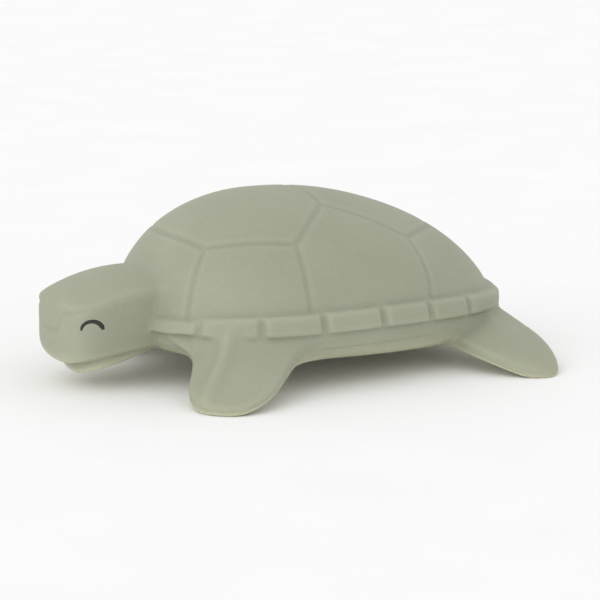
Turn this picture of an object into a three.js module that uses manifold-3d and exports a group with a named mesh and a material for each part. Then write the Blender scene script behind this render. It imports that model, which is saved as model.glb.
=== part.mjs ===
// Turtle bath toy: a hollow rubber moulding in two halves, upper and lower, bonded along a seam that
// runs under the lip, round the belly and along the edges of the flippers, with a printed eye on each
// cheek. Millimetres, +Z up, head towards -Y, the turtle's left at +X. While it is modelled, Y is
// measured from the shell's widest station and Z from the surface that the flippers stand on.

import * as THREE from "three";
import { mergeVertices } from "three/addons/utils/BufferGeometryUtils.js";
import Module from "manifold-3d";

const wasm = await Module();
wasm.setup();

// Shell
const SHELL_HALF_WIDTH = 35.8;
const SHELL_FRONT_LENGTH = 36.6;
const SHELL_REAR_LENGTH = 62;
const SHELL_RISE = 27.5; // crown above the rim
const SHELL_FRONT_FULLNESS = 2.35; // exponents of the outline's superellipse
const SHELL_REAR_FULLNESS = 2.3;
const DOME_FULLNESS = 1.9; // exponents of the dome's profile
const DOME_ROUNDNESS = 1.8;
const DOME_TAIL_ROUNDNESS = 1.4; // straighter towards the tail

// Rim of marginal plates
const RIM_Z = 17.1;
const RIM_TAIL_DROP = 3.4;
const RIM_NECK_DROP = 1.4;
const RIM_TAIL_REACH = 0.4; // overhang added at the tail
const RIM_HEIGHT = 5;
const RIM_FRONT_HEIGHT = 3.5;
const RIM_OVERHANG = 1.2;
const RIM_FLARE = 0.7; // out from the middle of the rim to its lower edge
const RIM_EDGE = 0.6; // bevel
const NOTCH_PITCH = 15.6;
const FIRST_NOTCH = 26.6; // along the rim from the spine
const NOTCH_RADIUS = 1.4;
const NOTCH_DEPTH = 1.2;

// Grooves between the plates of the shell
const GROOVE_WIDTH = 1.8;
const GROOVE_DEPTH = 0.7;

// Belly
const BELLY_Z = 4; // under the shell's widest station
const BELLY_SLOPE = 0.04; // down towards the tail
const BELLY_INSET = 2.2;
const BELLY_FULLNESS = 4;

// Head
const HEAD_REACH = 20.9; // nose beyond the front of the shell
const HEAD_HALF_WIDTH = 13.6;
const NECK_HALF_WIDTH = 12.8;
const HEAD_TOP = 23.3;
const NECK_TOP = 28.4;
const HEAD_CROWN = 4.9; // fall of the top from its middle to the sides
const HEAD_EDGE = 1.2; // bevel round the top
const LIP_Z = 5.9; // tip of the beak
const LIP_CORNER = 2.8; // up to the corners of the mouth
const LIP_RISE = 2.1; // from the nose to the shell
const LIP_EDGE = 0.4;
const CHIN_ROUNDING = 3;
const NOSE_ROUNDING = 12.6;
const HEAD_SQUARENESS = 3.8;

// Jaw
const JAW_SETBACK = 4.6; // behind the nose
const JAW_INSET = 1.8; // from the side of the head
const JAW_Z = 3.3;
const THROAT_Z = 8.4;
const JAW_CROWN = 1.6;
const JAW_EDGE = 0.8;
const JAW_LENGTH = 22;
const JAW_ROUNDING = 9;
const JAW_SQUARENESS = 3;

// Flippers of the left side: control points of the centre line, out from the shell's side and back from
// its front or its tail, then half chords and half thicknesses at even steps from root to tip
const FRONT_FLIPPER = {
  line: [[-23.8, 24.6, 10.5], [-5.8, 18.1, 7.8], [6.2, 6.6, 1.9]],
  end: -SHELL_FRONT_LENGTH,
  leading: [14.5, 13.6, 12.8, 12, 9.8],
  trailing: [14.5, 13.6, 13.2, 12, 9],
  halfThickness: [5.4, 5.3, 4.8, 3.9, 2.4],
  tipRounding: 5.6,
  wedge: -0.35, // how much deeper one edge of the underside is than the middle: the leading one
  ridgeAt: [-0.05, -0.6], // across the chord, at the root and at the tip
  ridgeHeight: [1.8, 1.25], // in half thicknesses
  edgeHeight: [0.15, 0.4], // of the leading and trailing edges, in ridge heights
};
const REAR_FLIPPER = {
  line: [[-23.8, -14.5, 10.4], [-5.8, -11.8, 6.6], [4.8, -7, 2.2]],
  end: SHELL_REAR_LENGTH,
  leading: [11.5, 12.4, 12.5, 10.6, 7],
  trailing: [11.5, 12.4, 12.5, 10.6, 7],
  halfThickness: [4.6, 4.6, 4.1, 3.3, 2],
  tipRounding: 6,
  wedge: -0.15,
  ridgeAt: [-0.2, -0.2],
  ridgeHeight: [1.35, 1.2],
  edgeHeight: [0.7, 0.6],
};
const FLIPPER_SQUARENESS = 2.4;

// Moulding
const WALL = 2.6;
const PAN_DEPTH = 3.5; // hollow of the lower half, under the seam
const BOND_GAP = 0.3;
const LIP_STEP = 0.4; // seam under the lip

// Printed eyes
const EYE_SETBACK = 5.75; // centre of the eye behind the nose
const EYE_Z = 15.7;
const EYE_HALF_WIDTH = 2.7;
const EYE_RISE = 2.4;
const EYE_STROKE = 0.9;
const EYE_THICKNESS = 0.4;
const EYE_GAP = 0.3;

// Facets
const OUTLINE_POINTS = 48;
const DOME_RINGS = 11;
const BELLY_RINGS = 6;
const CAVITY_POINTS = 22;
const CAVITY_RINGS = 5;
const NOSE_RINGS = 7;
const FLIPPER_POINTS = 16;
const FLIPPER_STEPS = 7;
const NOTCH_SIDES = 6;
const GROOVE_SPACING = 7;
const SEAM_STEPS = 37;
const EYE_STEPS = 10;
const SMALLEST_FACET = 0.01; // what the cuts leave below this is merged away

const FULL_TURN = 2 * Math.PI;
const { clamp, lerp, smoothstep } = THREE.MathUtils;
const signedPower = (value, power) => Math.sign(value) * Math.abs(value) ** power;
const roundOff = (share, power) => Math.max(1 - share ** power, 0) ** (1 / power);
const count = (n) => Array.from({ length: n }, (_, i) => i);

// A value read from a list spaced evenly over 0 to 1
function alongList(list, t) {
  const place = clamp(t, 0, 1) * (list.length - 1);
  const low = Math.min(Math.floor(place), list.length - 2);
  return lerp(list[low], list[low + 1], place - low);
}

// Solids

function toSolid(geometry) {
  const bare = new THREE.BufferGeometry();
  bare.setAttribute("position", geometry.getAttribute("position"));
  bare.setIndex(geometry.getIndex());
  const merged = mergeVertices(bare, 1e-4);
  const mesh = new wasm.Mesh({
    numProp: 3,
    vertProperties: merged.getAttribute("position").array,
    triVerts: new Uint32Array(merged.getIndex().array),
  });
  return new wasm.Manifold(mesh);
}

function toGeometry(solid) {
  const mesh = solid.getMesh();
  const geometry = new THREE.BufferGeometry();
  geometry.setAttribute("position", new THREE.BufferAttribute(mesh.vertProperties, 3));
  geometry.setIndex(new THREE.BufferAttribute(mesh.triVerts, 1));
  geometry.computeVertexNormals();
  return geometry;
}

const unite = (solids) => solids.reduce((whole, solid) => whole.add(solid));
const mirrored = (solid) => solid.mirror([1, 0, 0]);
const bothSides = (solid) => solid.add(mirrored(solid));
const cleaned = (solid) => solid.asOriginal().simplify(SMALLEST_FACET);

function signedVolume(points, index) {
  const corner = (i) => points[index[i]];
  const triangle = (t) => corner(3 * t).dot(corner(3 * t + 1).clone().cross(corner(3 * t + 2)));
  return count(index.length / 3).reduce((sum, t) => sum + triangle(t), 0) / 6;
}

// A closed solid through rings that all have the same number of points, with a fan over each end
function loft(rings) {
  const size = rings[0].length;
  const points = rings.flat();
  const index = [];
  for (const r of count(rings.length - 1)) {
    for (const k of count(size)) {
      const a = r * size + k;
      const b = r * size + ((k + 1) % size);
      index.push(a, b, b + size, a, b + size, a + size);
    }
  }
  const middle = (ring) => ring.reduce((sum, p) => sum.add(p), new THREE.Vector3()).divideScalar(size);
  const first = points.push(middle(rings[0])) - 1;
  const last = points.push(middle(rings.at(-1))) - 1;
  const lastRing = (rings.length - 1) * size;
  for (const k of count(size)) {
    const next = (k + 1) % size;
    index.push(first, next, k, last, lastRing + k, lastRing + next);
  }
  if (signedVolume(points, index) < 0) {
    index.reverse();
  }
  return toSolid(new THREE.BufferGeometry().setFromPoints(points).setIndex(index));
}

// Shell

// A point of the shell's outline, grown outwards. Turn 0 is the left side and a quarter is the tail.
function outlinePoint(turn, grow, share = 1) {
  const across = Math.cos(turn * FULL_TURN);
  const along = Math.sin(turn * FULL_TURN);
  const front = along < 0;
  const power = 2 / (front ? SHELL_FRONT_FULLNESS : SHELL_REAR_FULLNESS);
  const length = (front ? SHELL_FRONT_LENGTH : SHELL_REAR_LENGTH) + grow;
  const x = (SHELL_HALF_WIDTH + grow) * signedPower(across, power) * share;
  const y = length * signedPower(along, power) * share;
  return new THREE.Vector2(x, y);
}

// The offset, 0 or half a step, keeps the edges of solids that meet from running over each other.
function outlineRing(z, grow, share, points, offset = 0) {
  return count(points).map((k) => {
    const p = outlinePoint((k + offset) / points, grow, share);
    return new THREE.Vector3(p.x, p.y, z);
  });
}

// Where a place in plan lies between the crown, 0, and the outline, 1
function outlineShare(x, y, grow) {
  const front = y < 0;
  const power = front ? SHELL_FRONT_FULLNESS : SHELL_REAR_FULLNESS;
  const length = (front ? SHELL_FRONT_LENGTH : SHELL_REAR_LENGTH) + grow;
  const across = Math.abs(x) / (SHELL_HALF_WIDTH + grow);
  return ((Math.abs(y) / length) ** power + across ** power) ** (1 / power);
}

// Height of the dome over the floor. It stands on the middle of the rim, and its profile is straighter
// towards the tail.
function domeZ(x, y, grow = 0) {
  const share = Math.min(outlineShare(x, y, grow), 1);
  const across = (x / SHELL_HALF_WIDTH) ** 2;
  const behind = (Math.max(y, 0) / SHELL_REAR_LENGTH) ** 2;
  const tailward = behind / (across + behind + Number.EPSILON);
  const roundness = lerp(DOME_ROUNDNESS, DOME_TAIL_ROUNDNESS, tailward);
  const crown = RIM_Z + SHELL_RISE + grow;
  return lerp(rimZ(y, 0), crown, (1 - share ** DOME_FULLNESS) ** (1 / roundness));
}

function makeDome(grow, points, ringCount) {
  const shares = count(ringCount).map((i) => Math.cos((i / ringCount) * (Math.PI / 2)));
  const rings = [...shares, 0.02].map((share) =>
    outlineRing(0, grow, share, points).map((p) => p.setZ(domeZ(p.x, p.y, grow))),
  );
  const skirt = outlineRing(0, grow, 1, points).map((p) => p.setZ(rimZ(p.y, -0.6)));
  return loft([skirt, ...rings]);
}

// A height on the rim, from its lower edge, -1, to its upper edge, 1. The rim is taller behind the neck
// and sinks towards the neck and the tail.
function rimZ(y, level) {
  const behind = smoothstep(y, -0.65 * SHELL_FRONT_LENGTH, 0.2 * SHELL_FRONT_LENGTH);
  const height = lerp(RIM_FRONT_HEIGHT, RIM_HEIGHT, behind);
  const tailDrop = RIM_TAIL_DROP * (Math.max(y, 0) / SHELL_REAR_LENGTH) ** 3;
  const neckDrop = RIM_NECK_DROP * (Math.max(-y, 0) / SHELL_FRONT_LENGTH) ** 4;
  return RIM_Z - tailDrop - neckDrop + (level * height) / 2;
}

function rimPoint(turn, grow, level, lift) {
  const { x, y } = outlinePoint(turn, grow);
  const reach = RIM_TAIL_REACH * (Math.max(y, 0) / SHELL_REAR_LENGTH) ** 3;
  return new THREE.Vector3(x, y + reach, rimZ(y, level) + lift);
}

function makeRim() {
  const ring = (grow, level, lift) =>
    count(OUTLINE_POINTS).map((k) => rimPoint((k + 0.5) / OUTLINE_POINTS, grow, level, lift));
  const lower = RIM_OVERHANG + RIM_FLARE;
  const upper = RIM_OVERHANG - RIM_FLARE;
  return loft([
    ring(lower - RIM_EDGE, -1, 0),
    ring(lower, -1, RIM_EDGE),
    ring(upper, 1, -RIM_EDGE),
    ring(upper - RIM_EDGE, 1, 0),
  ]);
}

// Notches at an even pitch along the rim's left edge, from the neck to the tail, and their mirrors
function makeNotches() {
  const edge = new THREE.CatmullRomCurve3(
    count(OUTLINE_POINTS / 2 + 1).map((k) => rimPoint(-0.25 + k / OUTLINE_POINTS, RIM_OVERHANG, 0, 0)),
  );
  const length = edge.getLength();
  const steps = Math.floor((length - FIRST_NOTCH) / NOTCH_PITCH) + 1;
  const height = 2 * RIM_HEIGHT;
  const bar = new THREE.CylinderGeometry(NOTCH_RADIUS, NOTCH_RADIUS, height, NOTCH_SIDES);
  bar.rotateX(Math.PI / 2);
  const notches = count(steps).map((i) => {
    const at = (FIRST_NOTCH + i * NOTCH_PITCH) / length;
    const tangent = edge.getTangentAt(at);
    const outward = new THREE.Vector3(tangent.y, -tangent.x, 0).normalize();
    const axis = edge.getPointAt(at).addScaledVector(outward, NOTCH_RADIUS - NOTCH_DEPTH);
    return toSolid(bar.clone().translate(axis.x, axis.y, axis.z));
  });
  return bothSides(unite(notches));
}

// Corners of the plates, as shares of the shell's length, front -1 and tail 1, and of its half width
const CORNERS = {
  frontSpine: [-0.76, 0],
  front: [-0.65, 0.44],
  side: [-0.11, 0.725],
  waist: [0.145, 0.39],
  rearSide: [0.46, 0.63],
  rear: [0.67, 0.3],
  waistSpine: [0.145, 0],
  rearSpine: [0.67, 0],
};
const GROOVES = [
  ["frontSpine", "front"],
  ["front", "side"],
  ["side", "waist"],
  ["waist", "rearSide"],
  ["rearSide", "rear"],
  ["waistSpine", "waist"],
  ["rearSpine", "rear"],
];
// Grooves from a corner down to the rim, which they meet at a share of the shell's length
const RIM_GROOVES = [
  ["front", -0.85],
  ["side", -0.16],
  ["rearSide", 0.48],
  ["rear", 0.94],
];

const domePoint = (x, y) => new THREE.Vector3(x, y, domeZ(x, y));
const lengthAt = (along) => (along < 0 ? SHELL_FRONT_LENGTH : SHELL_REAR_LENGTH);
const cornerPoint = ([along, across]) => domePoint(across * SHELL_HALF_WIDTH, along * lengthAt(along));

// A point at the foot of the dome
function footPoint(along) {
  const power = along < 0 ? SHELL_FRONT_FULLNESS : SHELL_REAR_FULLNESS;
  const x = SHELL_HALF_WIDTH * roundOff(Math.abs(along), power);
  return domePoint(0.996 * x, 0.996 * along * lengthAt(along));
}

// The place where the ray from the middle of the shell's base through a point leaves the dome
function ontoDome(point) {
  const base = new THREE.Vector3(0, 0, RIM_Z);
  const place = (scale) => point.clone().sub(base).multiplyScalar(scale).add(base);
  const covered = (p) => outlineShare(p.x, p.y, 0) < 1 && p.z < domeZ(p.x, p.y);
  let [inside, outside] = [0, 2];
  for (const _ of count(30)) {
    const half = (inside + outside) / 2;
    [inside, outside] = covered(place(half)) ? [half, outside] : [inside, half];
  }
  return place(inside);
}

function domeNormal(x, y) {
  const step = 0.05;
  const acrossStep = domePoint(x + step, y).sub(domePoint(x - step, y));
  const alongStep = domePoint(x, y + step).sub(domePoint(x, y - step));
  return acrossStep.cross(alongStep).normalize();
}

// A bar of V section laid in the dome between two of its points
function grooveBar(from, to) {
  const run = to.clone().sub(from);
  const steps = Math.ceil(run.length() / GROOVE_SPACING);
  const overrun = GROOVE_WIDTH / 4 / run.length();
  const rings = count(steps + 1).map((i) => {
    const chord = from.clone().lerp(to, lerp(-overrun, 1 + overrun, i / steps));
    const place = ontoDome(chord);
    const normal = domeNormal(place.x, place.y);
    const side = run.clone().cross(normal).setLength(GROOVE_WIDTH);
    const proud = place.clone().addScaledVector(normal, GROOVE_DEPTH);
    const bottom = place.clone().addScaledVector(normal, -GROOVE_DEPTH);
    return [proud.clone().sub(side), bottom, proud.clone().add(side)];
  });
  return loft(rings);
}

function makeGrooves() {
  const plates = GROOVES.map(([a, b]) => grooveBar(cornerPoint(CORNERS[a]), cornerPoint(CORNERS[b])));
  const toRim = RIM_GROOVES.map(([a, along]) => grooveBar(cornerPoint(CORNERS[a]), footPoint(along)));
  return bothSides(unite([...plates, ...toRim]));
}

// Belly: the underside, inset from the rim and rounded into its sides
function makeBelly(grow, points, ringCount, offset) {
  const depth = (y) => RIM_Z - BELLY_Z + BELLY_SLOPE * y + grow;
  const shares = count(ringCount).map((i) => Math.cos((i / ringCount) * (Math.PI / 2)));
  return loft(
    shares.map((share) => {
      const low = roundOff(share, BELLY_FULLNESS);
      const ring = outlineRing(RIM_Z, grow - BELLY_INSET, share, points, offset);
      return ring.map((p) => p.setZ(RIM_Z - depth(p.y) * low));
    }),
  );
}

// Head and jaw: superellipse sections from the neck, inside the shell, to a rounded nose

const NOSE_Y = -SHELL_FRONT_LENGTH - HEAD_REACH;
const NECK_ROOT_Y = -SHELL_FRONT_LENGTH * 0.6;
const SEAM_Z = BELLY_Z + WALL + PAN_DEPTH;

const headwards = (y) => clamp((y - NOSE_Y) / HEAD_REACH, 0, 1);
const headHalfWidth = (y) => lerp(HEAD_HALF_WIDTH, NECK_HALF_WIDTH, headwards(y));
const jawHalfWidth = (y) => headHalfWidth(y) - JAW_INSET;

function headTop(x, y) {
  const crest = lerp(HEAD_TOP, NECK_TOP, 1 - (1 - headwards(y)) ** 2.2);
  return crest - HEAD_CROWN * (x / HEAD_HALF_WIDTH) ** 2;
}

function lipZ(x, y) {
  const corner = Math.min(Math.abs(x) / HEAD_HALF_WIDTH, 1) ** 2;
  return LIP_Z + LIP_CORNER * corner + LIP_RISE * headwards(y);
}

function headBottom(x, y) {
  const behindNose = Math.max(0, y - NOSE_Y);
  return lipZ(x, y) + Math.max(0, Math.sqrt(CHIN_ROUNDING) - Math.sqrt(behindNose)) ** 2;
}

function jawBottom(x, y) {
  const throat = clamp((y - NOSE_Y - JAW_SETBACK) / JAW_LENGTH, 0, 1);
  return lerp(JAW_Z, THROAT_Z, throat ** 1.5) + JAW_CROWN * (x / HEAD_HALF_WIDTH) ** 2;
}

// A section across the head: up one side, over the top, down the other side and back underneath
function crossSection(y, halfWidth, { bottom, top, topEdge, lowEdge }) {
  const place = (share, height, lift) =>
    new THREE.Vector3(halfWidth * share, y, height(halfWidth * share, y) + lift);
  const over = [0.92, 0.6, 0.2, -0.2, -0.6, -0.92].map((share) => place(share, top, 0));
  const under = [-0.94, -0.5, -0.17, 0.17, 0.5, 0.94].map((share) => place(share, bottom, 0));
  const sideTop = (share) => place(share, top, -topEdge);
  const sideLow = (share) => place(share, bottom, lowEdge);
  return [sideLow(1), sideTop(1), ...over, sideTop(-1), sideLow(-1), ...under];
}

// Half widths from the neck to a nose that is rounded in plan
function headPlan(noseY, rounding, squareness, halfWidthAt) {
  const straight = [NECK_ROOT_Y, (NECK_ROOT_Y + noseY + rounding) / 2].map((y) => ({ y, share: 1 }));
  const rounded = count(NOSE_RINGS + 1).map((i) => {
    const reach = Math.sin((i / (NOSE_RINGS + 0.4)) * (Math.PI / 2));
    return { y: noseY + rounding * (1 - reach), share: roundOff(reach, squareness) };
  });
  return [...straight, ...rounded].map(({ y, share }) => ({ y, halfWidth: halfWidthAt(y) * share }));
}

const headLoft = (plan, form) => loft(plan.map(({ y, halfWidth }) => crossSection(y, halfWidth, form)));
const HEAD_PLAN = headPlan(NOSE_Y, NOSE_ROUNDING, HEAD_SQUARENESS, headHalfWidth);

function makeHead() {
  const form = { bottom: headBottom, top: headTop, topEdge: HEAD_EDGE, lowEdge: LIP_EDGE };
  return headLoft(HEAD_PLAN, form);
}

function makeJaw() {
  const top = (x, y) => headBottom(x, y) + WALL;
  const form = { bottom: jawBottom, top, topEdge: 0, lowEdge: JAW_EDGE };
  return headLoft(headPlan(NOSE_Y + JAW_SETBACK, JAW_ROUNDING, JAW_SQUARENESS, jawHalfWidth), form);
}

function makeHeadCavity() {
  const inside = {
    bottom: (x, y) => headBottom(x, y - WALL) + WALL,
    top: (x, y) => headTop(x, y - WALL) - WALL,
    topEdge: HEAD_EDGE,
    lowEdge: LIP_EDGE,
  };
  const inJaw = {
    bottom: (x, y) => jawBottom(x, y) + WALL,
    top: (x, y) => inside.bottom(x, y) + WALL,
    topEdge: HEAD_EDGE,
    lowEdge: JAW_EDGE,
  };
  const headHollow = (y) => headHalfWidth(y) - WALL;
  const jawHollow = (y) => jawHalfWidth(y) - WALL;
  const jawNose = NOSE_Y + JAW_SETBACK + WALL;
  const head = headPlan(NOSE_Y + WALL, NOSE_ROUNDING - WALL, HEAD_SQUARENESS, headHollow);
  const jaw = headPlan(jawNose, JAW_ROUNDING - WALL, JAW_SQUARENESS, jawHollow);
  return headLoft(head, inside).add(headLoft(jaw, inJaw));
}

// Flippers: sections square to a curved centre line

// Height of the top across the chord: a wall up from the leading edge to the ridge, then a sloping face
function roofHeight(flipper, t, along) {
  const ridgeAt = lerp(...flipper.ridgeAt, t);
  const [leading, trailing] = flipper.edgeHeight;
  const wall = lerp(1, leading, (ridgeAt - along) / (ridgeAt + 1));
  const face = lerp(1, trailing, (along - ridgeAt) / (1 - ridgeAt));
  return Math.min(wall, face) * lerp(...flipper.ridgeHeight, t);
}

// Places across the chord from the trailing edge to the leading one, closer together near the edges
function alongChord(ridgeAt, q) {
  const bend = 1 - Math.cos(Math.PI * Math.min(q, 1 - q));
  return q < 0.5 ? 1 - (1 - ridgeAt) * bend : (1 + ridgeAt) * bend - 1;
}

function flipperSection(flipper, curve, t, share) {
  const centre = curve.getPoint(t);
  const tangent = curve.getTangent(t);
  const chordway = new THREE.Vector3(-tangent.y, tangent.x, 0).normalize();
  const thickness = alongList(flipper.halfThickness, t) * share;
  const half = FLIPPER_POINTS / 2;
  const place = (along, height) => {
    const edge = along < 0 ? flipper.leading : flipper.trailing;
    const z = centre.z + thickness * height * roundOff(Math.abs(along), FLIPPER_SQUARENESS);
    return centre.clone().addScaledVector(chordway, alongList(edge, t) * share * along).setZ(z);
  };
  const top = count(half + 1).map((k) => {
    const along = alongChord(lerp(...flipper.ridgeAt, t), k / half);
    return place(along, roofHeight(flipper, t, along));
  });
  const underside = count(half - 1).map((k) => {
    const along = -alongChord(0, (k + 1) / half);
    return place(along, -1 - flipper.wedge * along);
  });
  return [...top, ...underside];
}

function centreLine(flipper) {
  const place = ([x, y, z]) => new THREE.Vector3(SHELL_HALF_WIDTH + x, flipper.end + y, z);
  return new THREE.QuadraticBezierCurve3(...flipper.line.map(place));
}

function makeFlipper(flipper) {
  const curve = centreLine(flipper);
  const body = count(FLIPPER_STEPS + 1).map((i) => flipperSection(flipper, curve, i / FLIPPER_STEPS, 1));
  const onward = curve.getTangent(1);
  onward.divideScalar(Math.hypot(onward.x, onward.y));
  const rounded = [0.35, 0.62, 0.84, 0.96].map((reach) => {
    const shift = onward.clone().multiplyScalar(reach * flipper.tipRounding);
    const share = roundOff(reach, FLIPPER_SQUARENESS);
    return flipperSection(flipper, curve, 1, share).map((p) => p.add(shift));
  });
  return loft([...body, ...rounded]);
}

// The floor cuts flat pads under the flippers.
function aboveFloor(solid) {
  const slab = new THREE.BoxGeometry(400, 400, 20).translate(0, 0, -10);
  return solid.subtract(toSolid(slab));
}

// Seam: level round the body, bending down along the flippers and following the lip under the head

// The nearest place on a flipper's centre line: its height, and how many half chords away it is
function nearestOnLine(flipper, x, y) {
  const curve = centreLine(flipper);
  const places = count(SEAM_STEPS + 1).map((i) => {
    const p = curve.getPoint(i / SEAM_STEPS);
    return { i, z: p.z, away: Math.hypot(p.x - x, p.y - y) };
  });
  const near = places.reduce((best, place) => (place.away < best.away ? place : best));
  return { z: near.z, spread: near.away / alongList(flipper.leading, near.i / SEAM_STEPS) };
}

function seamZ(x, y) {
  const beyondBelly = smoothstep(outlineShare(x, y, -BELLY_INSET), 0.8, 1.1);
  const body = [FRONT_FLIPPER, REAR_FLIPPER].reduce((z, flipper) => {
    const near = nearestOnLine(flipper, x, y);
    return lerp(z, near.z, beyondBelly * (1 - smoothstep(near.spread, 1.4, 2)));
  }, SEAM_Z);
  const inHead = 1 - smoothstep(y, -SHELL_FRONT_LENGTH - 1, -SHELL_FRONT_LENGTH + 5);
  const underHead = inHead * (1 - smoothstep(x, HEAD_HALF_WIDTH, HEAD_HALF_WIDTH + 4));
  return lerp(body, lipZ(x, y) - LIP_STEP, underHead);
}

// Everything below the seam, moved up or down by half the bond's gap
function belowSeam(shift) {
  const reach = 1.3 * SHELL_REAR_LENGTH;
  const steps = count(SEAM_STEPS + 1).map((i) => lerp(-reach, reach, i / SEAM_STEPS));
  const rings = steps.map((y) => {
    const top = steps.map((x) => new THREE.Vector3(x, y, seamZ(Math.abs(x), y) + shift));
    return [...top, new THREE.Vector3(reach, y, -reach), new THREE.Vector3(-reach, y, -reach)];
  });
  return loft(rings);
}

// Body

function makeBody() {
  const limbs = [FRONT_FLIPPER, REAR_FLIPPER].map((flipper) => bothSides(makeFlipper(flipper)));
  const plates = makeDome(0, OUTLINE_POINTS, DOME_RINGS).subtract(makeGrooves());
  const rim = makeRim().subtract(makeNotches());
  const belly = makeBelly(0, OUTLINE_POINTS, BELLY_RINGS, 0);
  const outside = unite([plates, rim, belly, makeHead(), makeJaw(), ...limbs]);
  const cavity = unite([
    makeDome(-WALL, CAVITY_POINTS, CAVITY_RINGS),
    makeBelly(-WALL, CAVITY_POINTS, CAVITY_RINGS, 0.5),
    makeHeadCavity(),
  ]);
  return aboveFloor(outside.subtract(cavity));
}

// Printed eye on the left cheek: an arched stroke that follows the side of the head

function cheekX(y) {
  const i = HEAD_PLAN.findIndex((place) => place.y < y);
  const [behind, ahead] = [HEAD_PLAN[i - 1], HEAD_PLAN[i]];
  return lerp(behind.halfWidth, ahead.halfWidth, (y - behind.y) / (ahead.y - behind.y));
}

function makeEye() {
  const rings = count(EYE_STEPS + 1).map((i) => {
    const angle = Math.PI * lerp(0.06, 0.94, i / EYE_STEPS);
    const along = Math.cos(angle);
    const up = Math.sin(angle);
    const halfStroke = (EYE_STROKE / 2) * lerp(0.6, 1, up);
    const edge = (side, lift) => {
      const y = NOSE_Y + EYE_SETBACK - (EYE_HALF_WIDTH + side * halfStroke) * along;
      const z = EYE_Z + (EYE_RISE + side * halfStroke) * up;
      return new THREE.Vector3(cheekX(y) + EYE_GAP + lift, y, z);
    };
    return [edge(-1, 0), edge(1, 0), edge(1, EYE_THICKNESS), edge(-1, EYE_THICKNESS)];
  });
  return loft(rings);
}

// Assembly

const rubber = new THREE.MeshStandardMaterial({ color: 0xa5a992, roughness: 0.72, metalness: 0 });
const lowerRubber = new THREE.MeshStandardMaterial({ color: 0xa5a88e, roughness: 0.75, metalness: 0 });
const ink = new THREE.MeshStandardMaterial({ color: 0x2b2d2a, roughness: 0.5, metalness: 0 });

function addPiece(group, name, solid, material) {
  const mesh = new THREE.Mesh(toGeometry(solid), material);
  mesh.name = name;
  group.add(mesh);
}

const turtle = new THREE.Group();
const body = makeBody();
const leftEye = makeEye();
addPiece(turtle, "upper_half", cleaned(body.subtract(belowSeam(BOND_GAP / 2))), rubber);
addPiece(turtle, "lower_half", cleaned(body.intersect(belowSeam(-BOND_GAP / 2))), lowerRubber);
addPiece(turtle, "left_eye", leftEye, ink);
addPiece(turtle, "right_eye", mirrored(leftEye), ink);

// The origin is on the surface that the toy stands on, under the middle of its box.
const toy = new THREE.Group();
const box = new THREE.Box3().setFromObject(turtle);
turtle.position.set(0, -(box.min.y + box.max.y) / 2, -box.min.z);
toy.add(turtle);

export default toy;
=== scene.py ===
"""Turtle bath toy in satin natural rubber, on a pale studio floor.

The two moulded halves are meshed afresh from one distance field, so that shell, head and flippers
run into each other with the soft fillets of a moulding. The field is in millimetres in the
modelling frame: Y from the shell's widest station, Z from the floor, the head towards -Y.
"""

import math

import bmesh
import bpy
import numpy as np
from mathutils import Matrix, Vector
from mathutils.geometry import delaunay_2d_cdt


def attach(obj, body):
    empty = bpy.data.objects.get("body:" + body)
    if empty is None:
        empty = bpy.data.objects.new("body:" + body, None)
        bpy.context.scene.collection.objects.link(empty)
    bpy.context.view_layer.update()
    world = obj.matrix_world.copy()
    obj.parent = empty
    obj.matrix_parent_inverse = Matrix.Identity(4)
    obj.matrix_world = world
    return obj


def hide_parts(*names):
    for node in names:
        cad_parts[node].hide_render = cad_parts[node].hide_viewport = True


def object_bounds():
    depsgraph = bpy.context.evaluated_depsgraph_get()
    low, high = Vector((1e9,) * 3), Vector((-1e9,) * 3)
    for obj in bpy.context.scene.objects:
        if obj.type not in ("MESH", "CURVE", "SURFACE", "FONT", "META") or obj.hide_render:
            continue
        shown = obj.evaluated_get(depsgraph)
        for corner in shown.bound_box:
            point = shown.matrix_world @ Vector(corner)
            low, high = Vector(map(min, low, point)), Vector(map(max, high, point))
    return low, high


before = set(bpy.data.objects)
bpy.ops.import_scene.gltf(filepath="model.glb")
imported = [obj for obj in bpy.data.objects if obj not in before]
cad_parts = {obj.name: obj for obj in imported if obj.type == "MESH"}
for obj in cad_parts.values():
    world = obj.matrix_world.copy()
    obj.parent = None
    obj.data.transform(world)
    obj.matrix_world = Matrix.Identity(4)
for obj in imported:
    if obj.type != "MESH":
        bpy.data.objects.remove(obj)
cad_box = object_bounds()

MM = 0.001

# Shell
SHELL_HALF_WIDTH = 35.8
SHELL_FRONT_LENGTH = 36.6
SHELL_REAR_LENGTH = 62
SHELL_RISE = 27.5  # crown above the rim
SHELL_FRONT_FULLNESS = 2.35  # exponents of the outline's superellipse
SHELL_REAR_FULLNESS = 2.3
DOME_INSET = 0.5
DOME_FULLNESS = 2  # exponents of the dome's profile
DOME_ROUNDNESS = 1.8
DOME_TAIL_ROUNDNESS = 1.41  # straighter towards the tail
DOME_SKIRT = 0.3  # reach below the middle of the rim, in rim heights

# Rim of marginal plates
RIM_Z = 17.1
RIM_TAIL_DROP = 3.4
RIM_TAIL_BEND = 3  # exponents of the drops
RIM_NECK_DROP = 1.4
RIM_NECK_BEND = 4
RIM_HEIGHT = 5
RIM_FRONT_HEIGHT = 3.2
RIM_GROWTH = (-0.86, -0.72)  # shares of the front length between which the height changes
RIM_OVERHANG = 1.6
RIM_FLARE = 0.7  # out from the middle of the rim to its lower edge
FLARE_FADE = (0.6, 0.85)  # shares of the rear length between which the flare ends
FLARE_LIMIT = 1.4  # half heights of the rim
RIM_ROUNDING = 1.2
NOTCHES = (27.6, 43.3, 59.2, 75.7, 90.4, 104.8)  # along the edge, from the neck
NOTCH_RADIUS = 1.1
NOTCH_DEPTH = 1.2
NOTCH_MARGIN = 0.4  # beyond the rim's edges
NOTCH_ROUNDING = 0.5
FRONT_NOTCH_SHARE = 0.8  # of the depth
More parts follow.
